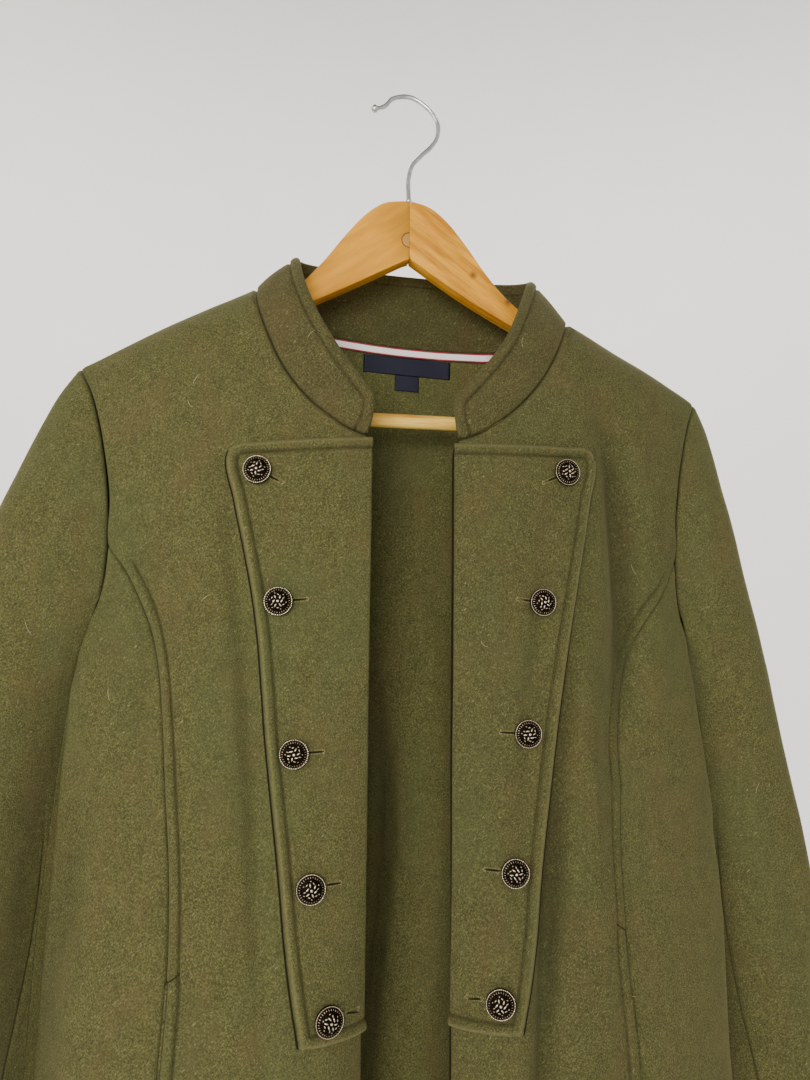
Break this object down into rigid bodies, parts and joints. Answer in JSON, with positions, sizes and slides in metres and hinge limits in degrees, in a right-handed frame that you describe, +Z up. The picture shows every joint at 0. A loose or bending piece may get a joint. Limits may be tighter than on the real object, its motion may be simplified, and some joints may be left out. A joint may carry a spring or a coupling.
{
  "type": "wool coat on hanger",
  "caption": "Open wool coat with a stand collar and tapering buttoned front panels, hung on a flat wooden hanger with a wire hook.",
  "frame": {"origin": "underside of the hook's crown, the point that rests on a nail or rail", "axes": "+Z up, the coat's front faces -Y, +X to the right as seen from the front"},
  "size_m": [0.72, 0.1198, 0.9531],
  "materials": {
    "olive_wool": "brushed woollen cloth with a fine nap",
    "neck_tape": "woven tape",
    "navy_label": "woven label, bare",
    "antique_brass": "darkened relief with rubbed high spots",
    "varnished_wood": "clear varnish, satin",
    "bright_wire": "bright plated wire"
  },
  "bodies": {
    "root": {"back_panel": "olive_wool", "front_left": "olive_wool", "front_right": "olive_wool", "side_front_left": "olive_wool", "side_front_right": "olive_wool", "plastron_left": "olive_wool", "plastron_right": "olive_wool", "top_sleeve_left": "olive_wool", "top_sleeve_right": "olive_wool", "under_sleeve_left": "olive_wool", "under_sleeve_right": "olive_wool", "stand_collar": "olive_wool", "neck_tape": "neck_tape", "neck_label": "navy_label", "size_label": "navy_label", "button_left_1": "antique_brass", "button_left_2": "antique_brass", "button_left_3": "antique_brass", "button_left_4": "antique_brass", "button_left_5": "antique_brass", "button_right_1": "antique_brass", "button_right_2": "antique_brass", "button_right_3": "antique_brass", "button_right_4": "antique_brass", "button_right_5": "antique_brass", "hanger_arm_left": "varnished_wood", "hanger_arm_right": "varnished_wood", "hanger_bar": "varnished_wood", "hanger_hook": "bright_wire"}
  },
  "joints": []
}
